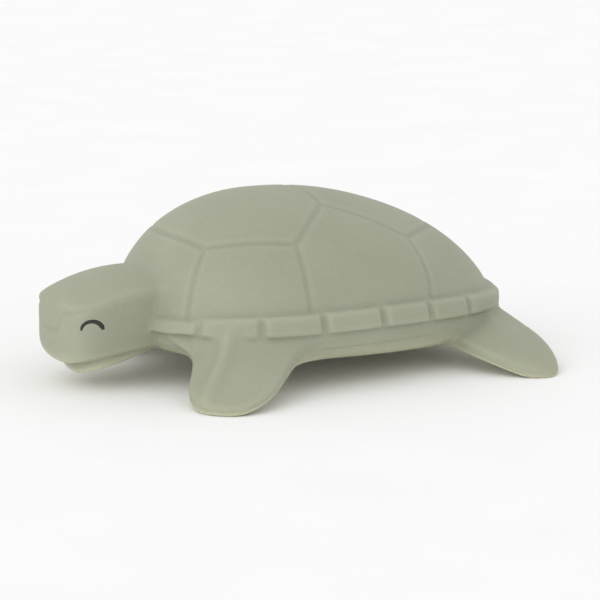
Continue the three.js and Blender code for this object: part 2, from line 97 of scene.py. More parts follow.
FRONT_NOTCH_FADE = (-0.4, 0)  # shares of the front length between which the depth changes
OUTLINE_STEPS = 400

# Grooves between plates. Corners of the plates are shares of the shell's length, front -1 and tail
# 1, and of its half width. The grooves to the rim meet it at a share of the length.
GROOVE_DEPTH = 1.25
GROOVE_HALF_WIDTH = 0.85
GROOVE_STEPS = 14
GROOVE_FOOT = 1  # below the rim's upper edge
FOOT_SHARE = 0.996  # of the outline
CARVE_REACH = 1.6  # from the surface that a groove or a ridge is drawn on
CORNERS = {
    "front_spine": (-0.722, 0),
    "front": (-0.65, 0.45),
    "side": (-0.11, 0.725),
    "waist": (0.145, 0.39),
    "rear_side": (0.46, 0.63),
    "rear": (0.67, 0.3),
    "waist_spine": (0.145, 0),
    "rear_spine": (0.67, 0),
}
GROOVES = [
    ("front_spine", "front"),
    ("front", "side"),
    ("side", "waist"),
    ("waist", "rear_side"),
    ("rear_side", "rear"),
    ("waist_spine", "waist"),
    ("rear_spine", "rear"),
]
RIM_GROOVES = [("front", -0.86), ("side", -0.13), ("rear_side", 0.48), ("rear", 0.94)]

# Belly
BELLY_Z = 6.3  # under the shell's widest station
BELLY_SLOPE = 0.04  # down towards the tail
BELLY_INSET = -0.3
BELLY_FULLNESS = 6

# Head and jaw
HEAD_REACH = 20.9  # nose beyond the front of the shell
HEAD_HALF_WIDTH = 13.6
NECK_HALF_WIDTH = 12.8
HEAD_TOP = 23.3
NECK_TOP = 28.4
NECK_BEND = 2.2  # exponent of the rise from head to neck
HEAD_CROWN = 4.9  # fall of the top from its middle to the sides
LIP_Z = 5.9
LIP_CORNER = 2.8  # up from the beak to the corners of the mouth
LIP_RISE = 2.1  # from the nose to the shell
LIP_ROUNDING = 0.5
CHIN_ROUNDING = 4
CHIN_REACH = 0.7  # share of the nose's rounding over which the chin's edge turns into the lip's
NOSE_ROUNDING = 12.6
HEAD_SQUARENESS = 3.8
BROW_ROUNDING = 1.4
NOSE_EDGE = 4  # rounding of the brow over the nose
NOSE_EDGE_FADE = (0.1, 0.75)  # shares of the half width between which the brow's edge sharpens
BROW_RISE = 0.15
BROW_HALF_WIDTH = 1.8
BROW_SPAN = (0.45, 0.95)  # shares of the half width
BROW_STEPS = 8
BEAK_LINE = [(0, 13.9), (4.6, 14.6), (5.6, 16.2), (7.2, 19), (11, 20), (12.8, 20.6)]  # X and Z
BEAK_STEPS = 16
BEAK_DEPTH = 0.7
BEAK_HALF_WIDTH = 0.9
JAW_SETBACK = 5  # behind the nose
JAW_INSET = 1.8  # from the side of the head
JAW_Z = 3.1
THROAT_Z = 8.4
THROAT_BEND = 1.5  # exponent of the rise from jaw to throat
JAW_CROWN = 2.8  # rise of the underside from its middle to the sides
JAW_CROWN_LIMIT = 1.5  # half widths
JAW_LENGTH = 22
JAW_ROUNDING = 9
JAW_SQUARENESS = 3
JAW_EDGE = 1.5
JAW_OVERLAP = 3  # up into the head

# Flippers of the left side: centre line in plan and length of the tip beyond it, then values at the
# root, at mid length and at the tip. Leading and trailing are half chords; rise and depth are from
# the edge to the upper and the lower face. The ridge is placed by half chords, and the heights of
# the face's edges and of the crest on the ridge are shares of the rise. The wedge thins the
# trailing side below, and the shoulder is the face's rise against the rim.
FRONT_FLIPPER = {
    "line": [(12, -12), (27.5, -19), (37.3, -26.3)],
    "tip": 11.3,
    "tip_fullness": 2.4,
    "leading": (10.5, 11.2, 10),
    "trailing": (17, 13.6, 8.2),
    "edge_z": (17, 8.75, 1.3),
    "rise": (10.5, 6.9, 1.1),
    "depth": (5, 3.4, 2.4),
    "wedge": -0.35,
    "ridge_at": (0.1, -0.1, -0.55),
    "leading_height": (0.15, 0.25, 0.4),
    "trailing_height": (0.4, 0.5, 0.6),
    "crest": (0.08, 0.08, 0.42),
    "shoulder": 2.6,
    "fillet": 4,
}
REAR_FLIPPER = {
    "line": [(12, 47.5), (22, 48.2), (29.4, 50.3)],
    "tip": 19.2,
    "tip_fullness": 1.7,
    "leading": (11.5, 11.4, 11),
    "trailing": (11.5, 12.6, 12.2),
    "edge_z": (10.4, 7.9, -0.6),
    "rise": (5.4, 2.8, 3),
    "depth": (4.6, 1.4, 1.4),
    "wedge": -0.15,
    "ridge_at": (0.5, -0.1, -0.2),
    "leading_height": (0.05, 0.5, 0.8),
    "trailing_height": (0.6, 0.6, 0.6),
    "crest": (0, 0, 0),
    "shoulder": 0,
    "fillet": 1.8,
}
FLIPPERS = (FRONT_FLIPPER, REAR_FLIPPER)
FLIPPER_STEPS = 80
FLIPPER_SQUARENESS = 4.5
TIP_LIMIT = 1.1  # share of the length at which values stop changing
CHORD_LIMIT = 1.2  # half chords at which the wedge stops
RIDGE_ROUNDING = 0.06  # share of the rise
LEAST_RISE = 0.2  # share of the rise
CREST_HALF_WIDTH = 0.3  # half chords
SHOULDER_HALF_WIDTH = 0.75  # half chords
SHOULDER_AT = 0.45  # share of the way to the tip
SHOULDER_SPREAD = 0.15

# Fillets between the forms
RIM_FILLET = 0.4
NECK_FILLET = 2.2
JAW_FILLET = 0.4
FOOT_ROUNDING = 0.4

# Seam: level round the belly, along the edges of the flippers and under the lip
SEAM_Z = 10.6
SEAM_OFF_BELLY = (0.8, 1.1)  # shares of the belly's outline between which it leaves its level
SEAM_OFF_FLIPPER = (1.4, 2)  # half chords between which it leaves a flipper's edge
SEAM_OFF_NECK = (-1, 5)  # behind the front of the shell, between which it leaves the lip
SEAM_OFF_CHEEK = 4  # beyond the side of the head
SEAM_BELOW_LIP = 0.4
SEAM_DEPTH = 0.08
SEAM_WELD = 0.06  # points of the cut closer than this become one

# Printed eyes: arches from front to rear
EYE_SETBACK = 5.75
EYE_Z = 15.7
EYE_HALF_WIDTH = 2.6
EYE_RISE = 2.4
EYE_LEAN = 0.3  # towards the nose at the top of the arch
EYE_SWEEP = (0.03, 0.97)  # shares of half a turn
EYE_STROKE = 1.15
EYE_TAPER = (0.6, 1.3)  # shares of the stroke at the front and the rear
EYE_END = 0.55  # share of the stroke at its very ends
EYE_END_GROWTH = 4
EYE_PROFILE = [(-1, -0.1), (-0.8, 0.03), (0, 0.06), (0.8, 0.03), (1, -0.1)]  # half strokes, lift
EYE_STEPS = 28

# Grid of the field, over the left side, which is mirrored when it is meshed
STEP = 0.465
GRID_HALF_WIDTH = 53
GRID_FRONT_MARGIN = 2.5
GRID_REAR_MARGIN = 5
GRID_TOP_MARGIN = 2
GRID_FLOOR_MARGIN = 1.25
LEAST_SLOPE = 0.02  # that a field is scaled by
SOFTENING = 0.4  # share of its neighbours' mean that each value takes
CAP_SPACING = 8  # grid steps between the inner points of the seam's caps
CAP_MARGIN = CAP_SPACING * STEP / 3  # from those points to the skin

# Painted highlights on edges and painted shade in hollows, in the skin's colour: grid steps each
# way that the share of rubber is averaged over, and how far it is from a half where they are
# strongest
RELIEF_REACH = 2
RELIEF_SCALE = 0.12

CROWN_Z = RIM_Z + SHELL_RISE
NOSE_Y = -SHELL_FRONT_LENGTH - HEAD_REACH
NECK_ROOT_Y = -0.6 * SHELL_FRONT_LENGTH

# The modelling frame's origin along Y, in the part's frame
ORIGIN_Y = cad_box[0].y / MM - NOSE_Y


# Distance field


def grid_axis(low, high):
    return np.arange(low, high, STEP, dtype=np.float32)


xs = grid_axis(STEP / 2, GRID_HALF_WIDTH)
ys = grid_axis(NOSE_Y - GRID_FRONT_MARGIN, SHELL_REAR_LENGTH + GRID_REAR_MARGIN)
zs = grid_axis(-GRID_FLOOR_MARGIN, CROWN_Z + GRID_TOP_MARGIN)
X = xs[:, None, None]
Y = ys[None, :, None]
Z = zs[None, None, :]


def smooth_min(a, b, k):
    h = np.clip(0.5 + 0.5 * (b - a) / k, 0, 1)
    return b + (a - b) * h - k * h * (1 - h)


def smooth_max(a, b, k):
    return -smooth_min(-a, -b, k)


def smoothstep(value, low, high):
    t = np.clip((value - low) / (high - low), 0, 1)
    return t * t * (3 - 2 * t)


def lerp(a, b, t):
    return a + (b - a) * t


def distance(field):
    """A field that is zero on a surface, scaled to be close to the distance from it."""
    axes = [i for i in range(3) if field.shape[i] > 1]
    slopes = np.gradient(field, STEP, axis=axes)
    return field / np.maximum(np.sqrt(sum(s * s for s in slopes)), LEAST_SLOPE)


def outline_share(x, y, grow):
    """Where a place in plan lies between the middle of the shell, 0, and its grown outline, 1."""
    front = y < 0
    power = np.where(front, SHELL_FRONT_FULLNESS, SHELL_REAR_FULLNESS)
    length = np.where(front, SHELL_FRONT_LENGTH, SHELL_REAR_LENGTH) + grow
    half_width = SHELL_HALF_WIDTH + grow
    return ((np.abs(y) / length) ** power + (x / half_width) ** power) ** (1 / power)


def rim_height(y):
    start, end = (share * SHELL_FRONT_LENGTH for share in RIM_GROWTH)
    return lerp(RIM_FRONT_HEIGHT, RIM_HEIGHT, smoothstep(y, start, end))


def rim_z(y):
    tail_drop = RIM_TAIL_DROP * (np.maximum(y, 0) / SHELL_REAR_LENGTH) ** RIM_TAIL_BEND
    neck_drop = RIM_NECK_DROP * (np.maximum(-y, 0) / SHELL_FRONT_LENGTH) ** RIM_NECK_BEND
    return RIM_Z - tail_drop - neck_drop


def dome_roundness(x, y):
    across = (x / SHELL_HALF_WIDTH) ** 2
    behind = (np.maximum(y, 0) / SHELL_REAR_LENGTH) ** 2
    return lerp(DOME_ROUNDNESS, DOME_TAIL_ROUNDNESS, behind / (across + behind + 1e-9))


def dome_z(x, y):
    inward = np.maximum(1 - outline_share(x, y, -DOME_INSET) ** DOME_FULLNESS, 0)
    return lerp(rim_z(y), CROWN_Z, inward ** (1 / dome_roundness(x, y)))


def dome_field():
    base = rim_z(Y)
    rise = np.maximum((Z - base) / (CROWN_Z - base), 0)
    outward = outline_share(X, Y, -DOME_INSET) ** DOME_FULLNESS
    dome = distance(outward + rise ** dome_roundness(X, Y) - 1)
    return np.maximum(dome, base - DOME_SKIRT * rim_height(Y) - Z)


def rim_flare():
    start, end = (share * SHELL_REAR_LENGTH for share in FLARE_FADE)
    below = np.clip((rim_z(Y) - Z) / (rim_height(Y) / 2), -FLARE_LIMIT, FLARE_LIMIT)
    return RIM_FLARE * (1 - smoothstep(Y, start, end)) * below


def rim_field():
    side = distance(outline_share(X, Y, RIM_OVERHANG + rim_flare()) - 1)
    return smooth_max(side, np.abs(Z - rim_z(Y)) - rim_height(Y) / 2, RIM_ROUNDING)


def belly_field():
    depth = RIM_Z - BELLY_Z + BELLY_SLOPE * Y
    low = np.maximum(RIM_Z - Z, 0) / depth
    outward = outline_share(X, Y, -BELLY_INSET) ** BELLY_FULLNESS
    return np.maximum(distance(outward + low**BELLY_FULLNESS - 1), Z - RIM_Z)


def neckwards(y):
    return np.clip((y - NOSE_Y) / HEAD_REACH, 0, 1)


def plan_distance(half_width, front, rounding, squareness):
    """Distance in plan from the side of the head or jaw, rounded towards its front."""
    nose = np.maximum(front + rounding - Y, 0) / rounding
    return distance(((X / half_width) ** squareness + nose**squareness) ** (1 / squareness) - 1)


def head_half_width(y):
    return lerp(HEAD_HALF_WIDTH, NECK_HALF_WIDTH, neckwards(y))


def head_top(x, y):
    crest = lerp(HEAD_TOP, NECK_TOP, 1 - (1 - neckwards(y)) ** NECK_BEND)
    return crest - HEAD_CROWN * (x / HEAD_HALF_WIDTH) ** 2


def lip_z(x, y):
    corner = np.minimum(x / HEAD_HALF_WIDTH, 1) ** 2
    return LIP_Z + LIP_CORNER * corner + LIP_RISE * neckwards(y)


def nose_y(x):
    """Front of the head in plan."""
    share = np.minimum(np.abs(x) / HEAD_HALF_WIDTH, 1)
    return NOSE_Y + NOSE_ROUNDING * (1 - (1 - share**HEAD_SQUARENESS) ** (1 / HEAD_SQUARENESS))


def brow_line():
    """Along the edge between the top and the front of the head."""
    start, end = (share * HEAD_HALF_WIDTH for share in BROW_SPAN)
    x = np.linspace(start, end, BROW_STEPS)
    return np.stack([x, nose_y(x), head_top(x, nose_y(x))], -1)


def beak_line():
    """From the middle of the mouth up beside the nose and out to the cheek, on the head's front."""
    at = np.linspace(0, len(BEAK_LINE) - 1, BEAK_STEPS)
    x, z = (np.interp(at, range(len(BEAK_LINE)), values) for values in zip(*BEAK_LINE))
    return np.stack([x, nose_y(x), z], -1)


def head_field():
    side = plan_distance(head_half_width(Y), NOSE_Y, NOSE_ROUNDING, HEAD_SQUARENESS)
    above = distance(Z - head_top(X, Y))
    below = distance(lip_z(X, Y) - Z)
    behind_chin = smoothstep(Y, NOSE_Y, NOSE_Y + CHIN_REACH * NOSE_ROUNDING)
    beside_nose = smoothstep(X, *(share * HEAD_HALF_WIDTH for share in NOSE_EDGE_FADE))
    chin = lerp(CHIN_ROUNDING, LIP_ROUNDING, behind_chin)
    brow = lerp(NOSE_EDGE, BROW_ROUNDING, beside_nose)
    head = smooth_max(smooth_max(side, above, brow), below, chin)
    near = np.abs(head) < CARVE_REACH
    carve(head, [brow_line()], -BROW_RISE, BROW_HALF_WIDTH, near)
    carve(head, [beak_line()], BEAK_DEPTH, BEAK_HALF_WIDTH, near)
    return np.maximum(head, Y - NECK_ROOT_Y)


def jaw_field():
    front = NOSE_Y + JAW_SETBACK
    throat = np.clip((Y - front) / JAW_LENGTH, 0, 1)
    half_width = head_half_width(Y) - JAW_INSET
    crown = JAW_CROWN * np.minimum(X / half_width, JAW_CROWN_LIMIT) ** 2
    bottom = lerp(JAW_Z, THROAT_Z, throat**THROAT_BEND) + crown
    side = plan_distance(half_width, front, JAW_ROUNDING, JAW_SQUARENESS)
    jaw = smooth_max(side, distance(bottom - Z), JAW_EDGE)
    return np.maximum(np.maximum(jaw, Z - lip_z(X, Y) - JAW_OVERLAP), Y - NECK_ROOT_Y)


def eased(values, share):
    """Smoothly from the value at the root to the one at the tip, drawn towards the middle one."""
    root, mid, tip = values
    return (1 - share) ** 2 * root + 2 * share * (1 - share) * mid + share**2 * tip


def along_flipper(flipper):
    """For places in plan: share of the way to the tip, offset from the line, run past its ends."""
    points = [np.array(p, dtype=np.float32) for p in flipper["line"]]
    line = eased(points, np.linspace(0, 1, FLIPPER_STEPS + 1, dtype=np.float32)[:, None])
    tangent = np.gradient(line, axis=0)
    tangent /= np.linalg.norm(tangent, axis=1)[:, None]
    run = np.concatenate([[0], np.cumsum(np.linalg.norm(np.diff(line, axis=0), axis=1))])
    plan = np.stack(np.broadcast_arrays(X[:, :, 0], Y[:, :, 0]), -1)
    nearest = ((plan[:, :, None, :] - line) ** 2).sum(-1).argmin(-1)
    offset = plan - line[nearest]
    along = run[nearest] + (offset * tangent[nearest]).sum(-1)
    side = offset[..., 1] * tangent[nearest, 0] - offset[..., 0] * tangent[nearest, 1]
    share = np.clip(along / (run[-1] + flipper["tip"]), 0, TIP_LIMIT)
    beyond = along - np.clip(along, 0, run[-1])
    return [v[:, :, None] for v in (share, side, beyond)]


def flipper_field(flipper, run):
    share, side, beyond = run

    def now(name):
        return eased(flipper[name], share)

    chord = side / np.where(side < 0, now("leading"), now("trailing"))
    ridge_at = now("ridge_at")
    off_ridge = np.abs(chord - ridge_at)
    wall = lerp(1, now("leading_height"), (ridge_at - chord) / (ridge_at + 1))
    face = lerp(1, now("trailing_height"), (chord - ridge_at) / (1 - ridge_at))
    crest = now("crest") * (1 - smoothstep(off_ridge, 0, CREST_HALF_WIDTH))
    above = now("rise") * (np.maximum(smooth_min(wall, face, RIDGE_ROUNDING), LEAST_RISE) + crest)
    across = 1 - smoothstep(off_ridge, 0, SHOULDER_HALF_WIDTH)
    near_rim = np.exp(-(((share - SHOULDER_AT) / SHOULDER_SPREAD) ** 2))
    above = above + flipper["shoulder"] * across * near_rim
    below = now("depth") * (1 + flipper["wedge"] * np.clip(chord, -CHORD_LIMIT, CHORD_LIMIT))
    edge_z = now("edge_z")
    level = (Z - edge_z) / np.where(Z > edge_z, above, below)
    n, m = flipper["tip_fullness"], FLIPPER_SQUARENESS
    plan = (np.abs(chord) ** n + np.abs(beyond / flipper["tip"]) ** n) ** (1 / n)
    return distance(((plan**m + np.abs(level) ** m) ** (1 / m) - 1).astype(np.float32))


def line_distance(points, line):
    """Distance from each point to a broken line."""
    nearest = np.full(len(points), 1e9, dtype=np.float32)
    for a, b in zip(line[:-1], line[1:]):
        run = b - a
        t = np.clip((points - a) @ run / (run @ run), 0, 1)
        nearest = np.minimum(nearest, np.linalg.norm(points - a - t[:, None] * run, axis=1))
    return nearest


def carve(field, lines, depth, half_width, near):
    """Sinks V grooves along lines into a field, or raises ridges where the depth is negative."""
    places = np.argwhere(near)
    points = np.stack([xs[places[:, 0]], ys[places[:, 1]], zs[places[:, 2]]], -1)
    away = np.min([line_distance(points, line) for line in lines], axis=0)
    field[near] += depth * np.maximum(1 - away / half_width, 0)


def dome_point(along, across):
    y = along * (SHELL_FRONT_LENGTH if along < 0 else SHELL_REAR_LENGTH)
    x = across * SHELL_HALF_WIDTH
    return np.array([x, y, dome_z(np.float64(x), np.float64(y))])


def foot_point(along):
    power = SHELL_FRONT_FULLNESS if along < 0 else SHELL_REAR_FULLNESS
    return dome_point(FOOT_SHARE * along, FOOT_SHARE * (1 - abs(along) ** power) ** (1 / power))


def onto_dome(point):
    """Where the ray from the middle of the shell's base through a point leaves the dome."""
    base = np.array([0, 0, RIM_Z])
    low, high = 0.0, 2.0
    for _ in range(30):
        half = (low + high) / 2
        x, y, z = base + half * (point - base)
        covered = outline_share(abs(x), y, -DOME_INSET) < 1 and z < dome_z(abs(x), y)
        low, high = (half, high) if covered else (low, half)
    return base + low * (point - base)


def groove_line(a, b):
    return np.array([onto_dome(a + t * (b - a)) for t in np.linspace(0, 1, GROOVE_STEPS)])


def groove_lines():
    corner = {name: dome_point(*place) for name, place in CORNERS.items()}
    plates = [groove_line(corner[a], corner[b]) for a, b in GROOVES]
    return plates + [groove_line(corner[a], foot_point(along)) for a, along in RIM_GROOVES]


def notch_places():
    """Middles of the notches along the rim's left edge, and the directions out from it."""
    turn = np.linspace(-0.25, 0.25, OUTLINE_STEPS) * 2 * np.pi
    power = np.where(turn < 0, 2 / SHELL_FRONT_FULLNESS, 2 / SHELL_REAR_FULLNESS)
    length = np.where(turn < 0, SHELL_FRONT_LENGTH, SHELL_REAR_LENGTH) + RIM_OVERHANG
    x = (SHELL_HALF_WIDTH + RIM_OVERHANG) * np.abs(np.cos(turn)) ** power
    y = length * np.sign(turn) * np.abs(np.sin(turn)) ** power
    run = np.concatenate([[0], np.cumsum(np.hypot(np.diff(x), np.diff(y)))])
    at = np.array(NOTCHES)
    edge = np.stack([np.interp(at, run, x), np.interp(at, run, y)], -1)
    onward = np.stack([np.interp(at + 1, run, x), np.interp(at + 1, run, y)], -1) - edge
    outward = np.stack([onward[:, 1], -onward[:, 0]], -1)
    outward = outward / np.linalg.norm(onward, axis=1)[:, None]
    behind = smoothstep(edge[:, 1], *(share * SHELL_FRONT_LENGTH for share in FRONT_NOTCH_FADE))
    depth = NOTCH_DEPTH * lerp(FRONT_NOTCH_SHARE, 1, behind)
    return zip(edge + (NOTCH_RADIUS - depth[:, None]) * outward, outward)


def cut_notches(field):
    tall = np.abs(Z - rim_z(Y)) - rim_height(Y) / 2 - NOTCH_MARGIN
    flare = rim_flare()
    for (x, y), outward in notch_places():
        post = np.hypot(X - x - outward[0] * flare, Y - y - outward[1] * flare) - NOTCH_RADIUS
        field = smooth_max(field, -np.maximum(post, tall), NOTCH_ROUNDING)
    return field


def toy_field(runs):
    dome = dome_field()
    above_rim = Z > rim_z(Y) + rim_height(Y) / 2 - GROOVE_FOOT
    near_dome = (np.abs(dome) < CARVE_REACH) & above_rim
    carve(dome, groove_lines(), GROOVE_DEPTH, GROOVE_HALF_WIDTH, near_dome)
    head = smooth_min(head_field(), jaw_field(), JAW_FILLET)
    upper = smooth_min(dome, head, NECK_FILLET)
    upper = smooth_min(upper, cut_notches(rim_field()), RIM_FILLET)
    under = belly_field()
    for flipper, run in zip(FLIPPERS, runs):
        under = smooth_min(under, flipper_field(flipper, run), flipper["fillet"])
    return smooth_max(smooth_min(upper, under, RIM_FILLET), -Z, FOOT_ROUNDING)


def softened(field):
    """The field averaged a little with its neighbours, so that the grid can hold every groove."""
    for axis in range(3):
        line = np.moveaxis(field, axis, 0)
        wide = np.pad(line, ((1, 1), (0, 0), (0, 0)), mode="symmetric")
        field = np.moveaxis(lerp(line, (wide[:-2] + wide[2:]) / 2, SOFTENING), 0, axis)
    return field


def seam_height(runs):
    off_belly = smoothstep(outline_share(X, Y, -BELLY_INSET), *SEAM_OFF_BELLY)
    seam = np.full((len(xs), len(ys), 1), SEAM_Z, dtype=np.float32)
    for flipper, (share, side, beyond) in zip(FLIPPERS, runs):
        spread = np.hypot(side / eased(flipper["leading"], share), beyond / flipper["tip"])
        on_flipper = off_belly * (1 - smoothstep(spread, *SEAM_OFF_FLIPPER))
        seam = lerp(seam, eased(flipper["edge_z"], share), on_flipper)
    in_head = 1 - smoothstep(Y, *(offset - SHELL_FRONT_LENGTH for offset in SEAM_OFF_NECK))
    beside_head = smoothstep(X, HEAD_HALF_WIDTH, HEAD_HALF_WIDTH + SEAM_OFF_CHEEK)
    return lerp(seam, lip_z(X, Y) - SEAM_BELOW_LIP, in_head * (1 - beside_head))


# Meshing


def surface_net(field):
    """Vertices and quads of a field's zero surface: one vertex in each cell that it crosses."""
    corners = [(i, j, k) for i in (0, 1) for j in (0, 1) for k in (0, 1)]
    nx, ny, nz = np.array(field.shape) - 1
    at_corner = [field[i : nx + i, j : ny + j, k : nz + k] for i, j, k in corners]
    inside = sum((v < 0).astype(np.int8) for v in at_corner)
    crossed = (inside > 0) & (inside < 8)
    values = np.stack([v[crossed] for v in at_corner], -1)
    place = np.zeros((len(values), 3))
    crossings = np.zeros(len(values))
    for a, b in [(a, b) for a in range(8) for b in (a | 1, a | 2, a | 4) if b > a]:
        va, vb = values[:, a], values[:, b]
        cut = (va < 0) != (vb < 0)
        t = np.where(cut, va / np.where(cut, va - vb, 1), 0)
        ca, cb = np.array(corners[a]), np.array(corners[b])
        place += cut[:, None] * (ca + t[:, None] * (cb - ca))
        crossings += cut
    cell = np.argwhere(crossed)
    vertices = cell + place / crossings[:, None]
    number = np.full(crossed.shape, -1)
    number[crossed] = np.arange(len(cell))
    solid = field < 0
    quads = []
    for axis in range(3):
        others = [i for i in range(3) if i != axis]
        here = np.moveaxis(solid, axis, 0)
        edge = np.argwhere(np.moveaxis(here[:-1] != here[1:], 0, axis))
        corner = []
        for step in ((-1, -1), (0, -1), (0, 0), (-1, 0)):
            c = edge.copy()
            c[:, others] += step
            corner.append(number[tuple(c.T)])
        quad = np.stack(corner, -1)
        turned = solid[tuple(edge.T)] ^ (axis == 1)
        quad[~turned] = quad[~turned, ::-1]
        quads.append(quad)
    return vertices, np.concatenate(quads)


def evened(vertices, quads):
    """Light smoothing: each vertex moves half way to the middle of its neighbours."""
    edges = np.concatenate([quads[:, [i, (i + 1) % 4]] for i in range(4)])
    edges = np.unique(np.sort(edges, axis=1), axis=0)
    here, there = np.concatenate([edges, edges[:, ::-1]]).T
    total = np.stack([np.bincount(here, vertices[there, i]) for i in range(3)], -1)
    return (vertices + total / np.bincount(here)[:, None]) / 2


def blurred(field, reach):
    """Mean of a field over a box that reaches some cells each way."""
    size = 2 * reach + 1
    for axis in range(3):
        margin = [(reach + 1, reach) if i == axis else (0, 0) for i in range(3)]
        padded = np.pad(field, margin, mode="symmetric")
        total = np.moveaxis(np.cumsum(padded, axis=axis, dtype=np.float64), axis, 0)
        field = np.moveaxis((total[size:] - total[:-size]) / size, 0, axis)
    return field


def cells(offset, count):
    """Cells that offsets from the start of an axis fall in, and the shares of the way over them."""
    steps = np.clip(offset / STEP, 0, count - 1.001)
    cell = steps.astype(int)
    return cell, steps - cell


def at_plan(values, x, y):
    """A height map of the left side, read at places of either side."""
    i, u = cells(np.abs(x) - xs[0], len(xs))
    j, v = cells(y - ys[0], len(ys))
    rows = [lerp(values[n, j], values[n, j + 1], v) for n in (i, i + 1)]
    return lerp(*rows, u)


def in_cell(values, i, j, k, v, w):
    """Values of a field on its planes i, read between the grid lines of a cell across them."""
    levels = [lerp(values[i, j, n], values[i, j + 1, n], v) for n in (k, k + 1)]
    return lerp(*levels, w)


def at_places(values, places):
    """A field of the left side, read at places of either side."""
    i, u = cells(np.abs(places[:, 0]) - xs[0], len(xs))
    j, v = cells(places[:, 1] - ys[0], len(ys))
    k, w = cells(places[:, 2] - zs[0], len(zs))
    sides = [in_cell(values, n, j, k, v, w) for n in (i, i + 1)]
    return lerp(*sides, u)


def seam_places(field, seam):
    """Places inside the seam for its caps, well clear of the skin."""
    level = (seam - zs[0]) / STEP
    k = level.astype(int)
    i, j = np.indices(seam.shape)
    depth = lerp(field[i, j, k], field[i, j, k + 1], level - k)
    spaced = (i % CAP_SPACING == 0) & (j % CAP_SPACING == 0) & (depth < -CAP_MARGIN)
    x, y = xs[i[spaced]], ys[j[spaced]]
    places = np.concatenate([np.stack([x, y], -1), np.stack([-x, y], -1)])
    return [Vector(place) for place in places]


def levelled_skin(field, seam):
    """The whole skin as a mesh, sheared so that the seam lies level at zero."""
    vertices, quads = surface_net(np.concatenate([field[::-1], field]))
    vertices = np.array([-xs[-1], ys[0], zs[0]]) + evened(vertices, quads) * STEP
    vertices[:, 2] -= at_plan(seam, vertices[:, 0], vertices[:, 1])
    mesh = bpy.data.meshes.new("skin")
    mesh.from_pydata(vertices, [], quads)
    whole = bmesh.new()
    whole.from_mesh(mesh)
    whole.normal_update()
    bpy.data.meshes.remove(mesh)
    return whole


def half_mesh(whole, name, upper, inner):
    """One half of the skin, cut along the level where its Z is zero, and capped there."""
    half = whole.copy()
    bmesh.ops.bisect_plane(
        half,
        geom=half.verts[:] + half.edges[:] + half.faces[:],
        dist=1e-6,
        plane_co=(0, 0, 0),
        plane_no=(0, 0, 1),
        clear_inner=upper,
        clear_outer=not upper,
    )
    boundary = [v for v in half.verts if v.is_boundary]
    bmesh.ops.remove_doubles(half, verts=boundary, dist=SEAM_WELD)
    for face in half.faces:
        face.smooth = True
    half.verts.index_update()
    cut = [edge for edge in half.edges if edge.is_boundary]
    ring = sorted({v for edge in cut for v in edge.verts}, key=lambda v: v.index)
    for v in ring:
        v.co -= SEAM_DEPTH * Vector((v.normal.x, v.normal.y, 0))
    number = {v: i for i, v in enumerate(ring)}
    sides = [(number[edge.verts[0]], number[edge.verts[1]]) for edge in cut]
    outline = [v.co.xy for v in ring]
    places, _, faces, origins, _, _ = delaunay_2d_cdt(outline + inner, sides, [], 1, 1e-6)
    corners = []
    for place, sources in zip(places, origins):
        known = [i for i in sources if i < len(ring)]
        corners.append(ring[known[0]] if known else half.verts.new((place.x, place.y, 0)))
    for face in faces:
        half.faces.new([corners[i] for i in (face[::-1] if upper else face)])
    for edge in cut:
        edge.smooth = False
    mesh = bpy.data.meshes.new(name)
    half.to_mesh(mesh)
    half.free()
    return mesh


def skin(name, node, mesh, seam, edge_light_hollow_shade, material):
    """A closed half of the skin, raised back from the levelled seam, in place of its CAD node."""
    places = np.empty(3 * len(mesh.vertices))
    mesh.vertices.foreach_get("co", places)
    places = places.reshape(-1, 3)
    places[:, 2] += at_plan(seam, places[:, 0], places[:, 1])
    # Painted light and shade: how convex the skin is at each vertex, for lighter edges and darker
    # hollows
    edges = mesh.attributes.new("edge_light_hollow_shade", "FLOAT", "POINT")
    painted_relief_light = np.clip(at_places(edge_light_hollow_shade, places), -1, 1)
    edges.data.foreach_set("value", painted_relief_light.astype(np.float32))
    places[:, 1] += ORIGIN_Y
    mesh.vertices.foreach_set("co", (places * MM).ravel())
    mesh.update()
    mesh.materials.append(material)
    piece = bpy.data.objects.new(name, mesh)
    bpy.context.scene.collection.objects.link(piece)
    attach(piece, "root")
    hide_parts(node)
    return piece


# Eyes


def cheek_x(field, y, z):
    """Outermost place of the skin beside a point of the head's side."""
    j = np.clip(np.searchsorted(ys, y) - 1, 0, len(ys) - 2)
    k = np.clip(np.searchsorted(zs, z) - 1, 0, len(zs) - 2)
    row = in_cell(field, slice(None), j, k, (y - ys[j]) / STEP, (z - zs[k]) / STEP)
    last = np.nonzero(row < 0)[0][-1]
    return xs[last] + STEP * row[last] / (row[last] - row[last + 1])


